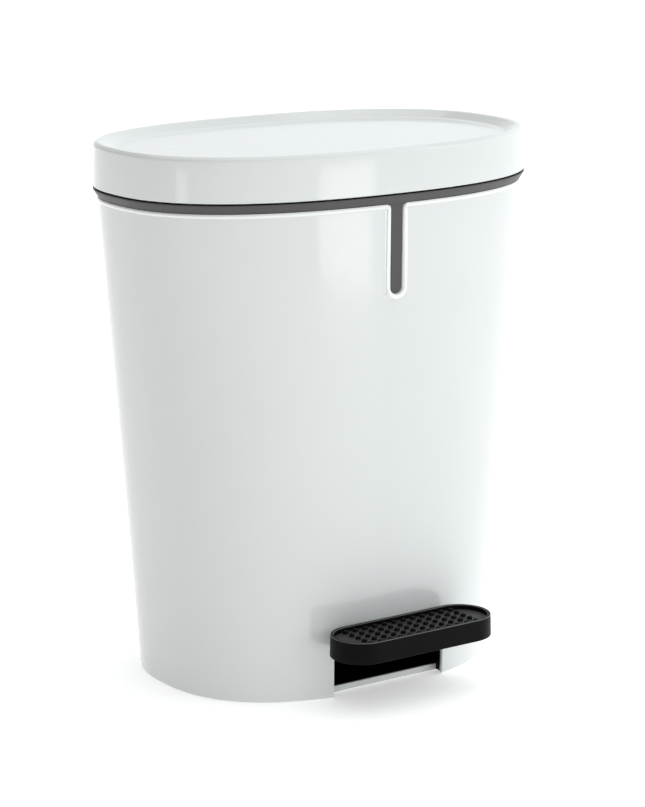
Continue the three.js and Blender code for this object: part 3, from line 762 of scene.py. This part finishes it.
def build_tread():
    edge = SHOE_RADIUS - 3.5
    bottom = TREAD_FLOOR + GAP
    corners = [(4, bottom, 0), (edge, bottom, 0), (edge, TREAD_TOP, 0.6), (4, TREAD_TOP, 0)]
    tread = stadium_loft("tread", fillet(corners))
    slim, shoulder = PIP_RADIUS - 0.05, TREAD_TOP + 1.2
    dome = [(PIP_RADIUS + 0.35, TREAD_TOP - 0.3), (PIP_RADIUS + 0.3, TREAD_TOP - 0.02)]
    dome += [(PIP_RADIUS + 0.05, TREAD_TOP + 0.2), (slim, TREAD_TOP + 1.1)]
    for t in (math.pi / 2 * k / 6 for k in range(6)):
        dome.append((slim * math.cos(t) ** 0.6, shoulder + (PIP_TOP - shoulder) * math.sin(t)))
    dome.append((0.2, PIP_TOP))
    pips = []
    for column in range(PIP_COLUMNS):
        for row in range(PIP_ROWS):
            x = (column - (PIP_COLUMNS - 1) / 2) * PIP_X
            y = SHOE_Y + (row - (PIP_ROWS - 1) / 2) * PIP_Y
            pips.append(turned("z", (x, y, 0), dome, 28))
    merge(tread, pips)
    finish_piece(tread, "pedal_tread", angle=50)
    # faces above the tread floor get the near black rubber, painted shade on the pips
    second_look(tread, pip_painted_shade, lambda face: face.center.z > (TREAD_TOP + 0.1) * MM)


def merge(made, others):
    """Adds other objects' meshes to an object."""
    work = bmesh.new()
    work.from_mesh(made.data)
    for other in others:
        work.from_mesh(other.data)
        bpy.data.objects.remove(other)
    work.to_mesh(made.data)
    work.free()
    return made


# ------------------------------------------------------------ base, feet, rod
def build_feet():
    for hand, side in (("left", -1), ("right", 1)):
        for where, end in (("front", -1), ("rear", 1)):
            pad = [(3, 0.35), (5.6, 0.3), (6.2, 0.02), (7.6, 0), (8.1, 0.2), (8.25, 0.6), (8.9, 2.4)]
            pad += [(8.8, 2.68), (2.6, 2.69)]
            stem = [(2.48, 3), (2.48, 6.6), (2.2, 7.2), (1.6, 7.38)]
            foot = turned("z", (side * FOOT_X, end * FOOT_Y, 0), pad + stem)
            finish_piece(foot, f"foot_{where}_{hand}")


def build_bumpers():
    for hand, side in (("left", -1), ("right", 1)):
        bumper = turned("z", (side * BUMPER_X, BUMPER_Y, 0), barrel(3.38, 408.62, 410.7, 0.5))
        finish_piece(bumper, f"lid_bumper_{hand}")


def build_base():
    profile = [(60, 3), (99.6, 3), (100, 3.3), (100, 5.1), (99.7, 5.4), (60, 5.4)]
    plate = oval_loft("plate", [shell_ring(b, z) for b, z in profile], 256, closed=False)
    cut(plate, block(-SILL_HALF - 1, SILL_HALF + 1, AHEAD, SILL_BACK + GAP, 0, 10))
    over_lip, behind_lip = LIP_TOP + GAP, SILL_BACK + 1.5
    cheek = [(-112, 1.2), (SILL_FRONT - GAP, 1.2), (SILL_FRONT - GAP, over_lip), (behind_lip, over_lip)]
    cheek += [(behind_lip, ROOT_Z), (-86, ROOT_Z), (-86, 30), (-96, CHEEK_TOP), (-112, CHEEK_TOP)]
    for end in (-1, 1):
        near, far = sorted((end * CHEEK_INNER, end * CHEEK_OUTER))
        union(plate, bevel(keep(prism("x", cheek, near, far), shell_core(-1, 60, -WALL - GAP)), 0.3))
    for x in (-70, 70):
        union(plate, bevel(block(x - 1, x + 1, -60, 60, ROOT_Z, 10.4), 0.4))
    for y in (-45, 45):
        union(plate, bevel(block(-80, 80, y - 1, y + 1, ROOT_Z, 7), 0.4))
    for end in (-1, 1):
        near, far = sorted((end * 41, end * 47))
        post = [(-21, ROOT_Z), (5, ROOT_Z), (-2, 34)] + arc(PIVOT_Y, 33, 5.4, 0, 180, 16) + [(-14, 34)]
        union(plate, bevel(prism("x", post, near, far), 0.4))
    cut(plate, drill("x", (0, PIVOT_Y, PIVOT_Z), 3.3, -60, 60))
    foot_hole = 2.8
    for sx in (-1, 1):
        for sy in (-1, 1):
            cut(plate, drill("z", (sx * BOSS_X, sy * BOSS_Y, 0), SCREW_HOLE, 0, 10))
            cut(plate, drill("z", (sx * FOOT_X, sy * FOOT_Y, 0), foot_hole, 0, 10))
    finish_piece(plate, "base_plate")


def build_rod():
    rod = turned("z", (0, ROD_Y, 0), barrel(WIRE_RADIUS, 26.9, 404.9, 0.4))
    finish_piece(rod, "push_rod")
    dome = [(3 * math.cos(t), 407.7 + 3 * math.sin(t)) for t in (math.pi / 2 * k / 10 for k in range(10))]
    tip = turned("z", (0, ROD_Y, 0), [(2.4, 398.05), (2.9, 398.2), (3, 398.6)] + dome + [(0.2, 410.7)])
    cut(tip, drill("z", (0, ROD_Y, 0), WIRE_HOLE, 390, 405.3))
    finish_piece(tip, "rod_tip")
    foot = turned("z", (0, ROD_Y, 0), barrel(3.68, 23.55, 31.95, 0.5))
    cut(foot, drill("z", (0, ROD_Y, 0), WIRE_HOLE, 26.5, 40))
    finish_piece(foot, "rod_foot")
    axle = turned("x", (0, PIVOT_Y, PIVOT_Z), barrel(AXLE_RADIUS, -49.9, 49.9, 0.5))
    finish_piece(axle, "pedal_axle")
    for hand, side in (("left", -1), ("right", 1)):
        near, far = sorted((side * 47.45, side * 48.55))
        clip = turned("x", (0, PIVOT_Y, PIVOT_Z), barrel(5.45, near, far, 0.3))
        cut(clip, drill("x", (0, PIVOT_Y, PIVOT_Z), 3.2, -60, 60))
        cut(clip, block(-60, 60, PIVOT_Y - 1.5, PIVOT_Y + 1.5, PIVOT_Z - 10, PIVOT_Z - 1))
        finish_piece(clip, f"axle_clip_{hand}")


# ------------------------------------------------------------ carried-over CAD nodes
def dress_cad_nodes():
    """Gives the CAD nodes that stay in view their materials and a small rounding of the edges."""
    for name in ("pedal_lever", "lid_lift_cam", "rod_channel", "rod_guide_lower", "rod_guide_upper"):
        kept = frame["nodes"][name]
        kept.data.materials.clear()
        kept.data.materials.append(LOOKS[SLOT_OF[name]])
        for polygon in kept.data.polygons:
            polygon.use_smooth = True
        weld = kept.modifiers.new("weld", "WELD")
        weld.merge_threshold = 0.00001
        edges = kept.modifiers.new("edges", "BEVEL")
        edges.width = 0.0005
        edges.segments = 2
        edges.limit_method = "ANGLE"
        edges.angle_limit = math.radians(35)
        edges.harden_normals = True


# ------------------------------------------------------------ studio
def area_light(name, place, aim, size, power):
    lamp = bpy.data.lights.new(name, "AREA")
    lamp.shape = "RECTANGLE"
    lamp.size, lamp.size_y = size
    lamp.energy = power
    made = bpy.data.objects.new(name, lamp)
    made.location = place
    made.rotation_euler = (Vector(aim) - Vector(place)).to_track_quat("-Z", "Y").to_euler()
    bpy.context.scene.collection.objects.link(made)


def build_studio():
    """A world dark on the left and bright on the right, a pale floor, a soft sun and three lamps."""
    world = bpy.data.worlds.new("studio")
    world.use_nodes = True
    tree = world.node_tree
    sky = tree.nodes["Background"]
    place = tree.nodes.new("ShaderNodeTexCoord")
    towards = tree.nodes.new("ShaderNodeVectorMath")
    towards.operation = "DOT_PRODUCT"
    brightest = (0.995, -0.1, 0)
    towards.inputs[1].default_value = brightest
    share = tree.nodes.new("ShaderNodeMapRange")
    share.inputs["From Min"].default_value = -1
    tint = tree.nodes.new("ShaderNodeValToRGB")
    tint.color_ramp.elements[0].color = (0.068, 0.061, 0.048, 1)
    tint.color_ramp.elements[1].color = (1.3, 1.345, 1.355, 1)
    tree.links.new(place.outputs["Generated"], towards.inputs[0])
    tree.links.new(towards.outputs["Value"], share.inputs["Value"])
    tree.links.new(share.outputs["Result"], tint.inputs["Fac"])
    tree.links.new(tint.outputs["Color"], sky.inputs["Color"])
    bpy.context.scene.world = world
    bpy.context.scene.view_settings.view_transform = "Standard"
    reach = 20000
    corners = [(-reach, -reach, 0), (reach, -reach, 0), (reach, reach, 0), (-reach, reach, 0)]
    floor = new_object("floor", corners, [(0, 1, 2, 3)])
    look, shader = new_material("floor", (0.8, 0.8, 0.8), 0.9)
    vary(look, shader.inputs["Base Color"], noise(look, 3, 2), (0.79, 0.79, 0.79), (0.81, 0.81, 0.81))
    shader.inputs["Emission Color"].default_value = (1, 1, 1, 1)
    shader.inputs["Emission Strength"].default_value = 0.45
    floor.data.materials.append(look)
    sun = bpy.data.lights.new("overhead", "SUN")
    sun.energy = 0.8
    sun.angle = math.radians(80)
    overhead = bpy.data.objects.new("overhead", sun)
    bpy.context.scene.collection.objects.link(overhead)
    area_light("key", (1.7, -1.6, 1.2), (0, 0, 0.25), (0.8, 1.6), 4.7)
    area_light("strip_right", (0.55, -1.5, 0.17), (0, -0.1, 0.3), (0.5, 0.3), 0.8)
    area_light("strip_left", (-1.6, -0.55, 0.17), (-0.1, 0, 0.3), (0.3, 0.3), 0.35)


def build_camera():
    """From 35 degrees to the left of the front and 13 degrees up."""
    azimuth, elevation, distance = math.radians(-35.03), math.radians(13.04), 2385.17
    level = math.cos(elevation)
    back = Vector((math.sin(azimuth) * level, -math.cos(azimuth) * level, math.sin(elevation)))
    aim = Vector((6.61, -4.63 + BODY_Y, 219.81))
    lens = bpy.data.cameras.new("camera")
    lens.lens = 126.3
    lens.sensor_width = 36
    lens.sensor_fit = "AUTO"
    lens.clip_end = 50
    camera = bpy.data.objects.new("camera", lens)
    camera.location = (aim + back * distance) * MM
    camera.rotation_euler = (-back).to_track_quat("-Z", "Y").to_euler()
    bpy.context.scene.collection.objects.link(camera)
    bpy.context.scene.camera = camera


build_shell()
build_ring()
build_bucket()
build_lid()
for hand, side in (("left", -1), ("right", 1)):
    build_bracket(side, hand)
    build_pin(side, hand)
for screw in sorted(name for name in frame["nodes"] if "screw" in name):
    build_screw(screw, "y" if screw.startswith("hinge") else "z")
build_shoe()
build_tread()
build_feet()
build_bumpers()
build_base()
build_rod()
dress_cad_nodes()
build_studio()
build_camera()
